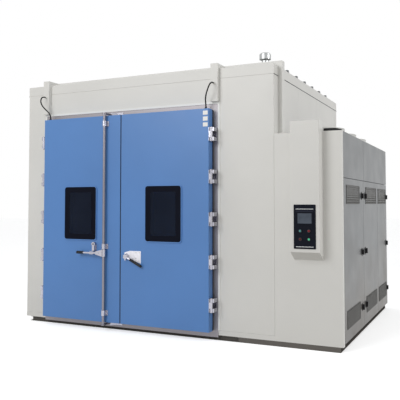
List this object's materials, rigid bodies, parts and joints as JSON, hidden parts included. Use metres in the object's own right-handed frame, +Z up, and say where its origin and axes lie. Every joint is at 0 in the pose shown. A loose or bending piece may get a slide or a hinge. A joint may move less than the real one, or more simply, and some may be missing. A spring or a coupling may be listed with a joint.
{
  "type": "walk-in environmental test chamber",
  "caption": "Walk-in environmental test chamber of insulated panels with hinged double doors, window, lock bar and side machine unit.",
  "frame": {"origin": "on the floor under the middle of the chamber body, on the foot pad of the base frame", "axes": "+X to the right along the front, +Y to the rear, +Z up"},
  "size_m": [4.156, 3.208, 3.245],
  "materials": {
    "base_steel": "satin",
    "cream_panel": "satin",
    "white_trim": "satin",
    "door_blue": "satin",
    "machine_grey": "semi-gloss",
    "stainless": "brushed",
    "bright_metal": "polished",
    "black_rubber": "matt",
    "black_plastic": "matt",
    "window_glass": "clear",
    "lamp_glass": "frosted",
    "aluminium_fins": "mill",
    "motor_blue": "satin",
    "dark_steel": "satin",
    "fan_grey": "satin",
    "switchgear": "satin",
    "stop_red": "gloss",
    "start_green": "gloss"
  },
  "bodies": {
    "chamber": {"base_frame": "base_steel", "floor_panel": "cream_panel", "side_walls": "cream_panel", "rear_wall": "cream_panel", "front_panels": "cream_panel", "roof_panel": "cream_panel", "interior_liner": "stainless", "door_frame": "stainless", "opening_trim": "white_trim", "frame_hinges": "bright_metal", "lock_keepers": "bright_metal", "cable_trunks": "cream_panel", "left_door_cable": "black_rubber", "right_door_cable": "black_rubber", "roof_stiffeners": "machine_grey", "pressure_vent": "bright_metal", "air_baffle": "stainless", "evaporator_coil": "aluminium_fins", "air_heater": "stainless", "fan_motors": "motor_blue", "interior_lamps": "lamp_glass", "machine_frame": "machine_grey", "machine_front": "cream_panel", "machine_rear_panel": "cream_panel", "machine_roof": "cream_panel", "machine_side_panel": "machine_grey", "fan_guards": "dark_steel", "condenser_coil": "aluminium_fins", "compressors": "motor_blue", "electrical_plate": "switchgear", "control_box": "cream_panel", "operator_fascia": "black_plastic"},
    "left_door": {"left_leaf": "door_blue", "left_gasket": "black_rubber", "left_window": "window_glass", "left_door_hinges": "bright_metal", "rod_guides": "bright_metal", "left_gland": "black_plastic"},
    "lock_bar": {"lock_rod": "bright_metal", "lock_lever": "bright_metal"},
    "right_door": {"right_leaf": "door_blue", "right_gasket": "black_rubber", "right_window": "window_glass", "right_door_hinges": "bright_metal", "latch_plate": "bright_metal", "right_gland": "black_plastic"},
    "latch": {"latch_lever": "bright_metal"},
    "front_side_door": {"front_machine_door": "machine_grey"},
    "middle_side_door": {"middle_machine_door": "machine_grey"},
    "rear_side_door": {"rear_machine_door": "machine_grey"},
    "front_latches": {"front_door_paddles": "black_plastic"},
    "middle_latches": {"middle_door_paddles": "black_plastic"},
    "rear_latches": {"rear_door_paddles": "black_plastic"},
    "stop_push": {"stop_button": "stop_red"},
    "start_push": {"start_button": "start_green"},
    "circulation_rotor_front": {"front_circulation_fan": "fan_grey"},
    "circulation_rotor_rear": {"rear_circulation_fan": "fan_grey"},
    "condenser_rotor_front": {"front_condenser_fan": "fan_grey"},
    "condenser_rotor_middle": {"middle_condenser_fan": "fan_grey"},
    "condenser_rotor_rear": {"rear_condenser_fan": "fan_grey"}
  },
  "joints": [
    {"name": "left_door_hinge", "type": "hinge", "parent": "chamber", "child": "left_door", "pos_m": [-1.355, -1.615, 1.3], "axis": [0, 0, -1], "range_deg": [0, 120]},
    {"name": "right_door_hinge", "type": "hinge", "parent": "chamber", "child": "right_door", "pos_m": [1.005, -1.615, 1.3], "axis": [0, 0, 1], "range_deg": [0, 120]},
    {"name": "lock_bar_turn", "type": "hinge", "parent": "left_door", "child": "lock_bar", "pos_m": [-0.39, -1.665, 1.3], "axis": [0, 0, 1], "range_deg": [0, 100]},
    {"name": "latch_turn", "type": "hinge", "parent": "right_door", "child": "latch", "pos_m": [-0.083, -1.65, 0.895], "axis": [0, -1, 0], "range_deg": [0, 60]},
    {"name": "front_side_door_hinge", "type": "hinge", "parent": "chamber", "child": "front_side_door", "pos_m": [2.43, -1.437, 0.9], "axis": [0, 0, -1], "range_deg": [0, 110]},
    {"name": "middle_side_door_hinge", "type": "hinge", "parent": "chamber", "child": "middle_side_door", "pos_m": [2.43, 0.647, 0.9], "axis": [0, 0, 1], "range_deg": [0, 85]},
    {"name": "rear_side_door_hinge", "type": "hinge", "parent": "chamber", "child": "rear_side_door", "pos_m": [2.43, 0.653, 0.9], "axis": [0, 0, -1], "range_deg": [0, 85]},
    {"name": "front_latch_pull", "type": "hinge", "parent": "front_side_door", "child": "front_latches", "pos_m": [2.428, -0.478, 0.951], "axis": [0, 0, -1], "range_deg": [0, 30]},
    {"name": "middle_latch_pull", "type": "hinge", "parent": "middle_side_door", "child": "middle_latches", "pos_m": [2.428, -0.258, 0.951], "axis": [0, 0, -1], "range_deg": [0, 30]},
    {"name": "rear_latch_pull", "type": "hinge", "parent": "rear_side_door", "child": "rear_latches", "pos_m": [2.428, 1.362, 0.951], "axis": [0, 0, -1], "range_deg": [0, 30]},
    {"name": "stop_press", "type": "slide", "parent": "chamber", "child": "stop_push", "axis": [0, 1, 0], "range_m": [0, 0.003], "stiffness_N_per_m": 400},
    {"name": "start_press", "type": "slide", "parent": "chamber", "child": "start_push", "axis": [0, 1, 0], "range_m": [0, 0.003], "stiffness_N_per_m": 400},
    {"name": "circulation_front_spin", "type": "hinge", "parent": "chamber", "child": "circulation_rotor_front", "pos_m": [1.212, -0.65, 1.94], "axis": [1, 0, 0], "continuous": true},
    {"name": "circulation_rear_spin", "type": "hinge", "parent": "chamber", "child": "circulation_rotor_rear", "pos_m": [1.212, 0.25, 1.94], "axis": [1, 0, 0], "continuous": true},
    {"name": "condenser_front_spin", "type": "hinge", "parent": "chamber", "child": "condenser_rotor_front", "pos_m": [2.065, -0.95, 2.25], "axis": [0, 0, 1], "continuous": true},
    {"name": "condenser_middle_spin", "type": "hinge", "parent": "chamber", "child": "condenser_rotor_middle", "pos_m": [2.065, -0.3, 2.25], "axis": [0, 0, 1], "continuous": true},
    {"name": "condenser_rear_spin", "type": "hinge", "parent": "chamber", "child": "condenser_rotor_rear", "pos_m": [2.065, 0.35, 2.25], "axis": [0, 0, 1], "continuous": true}
  ]
}
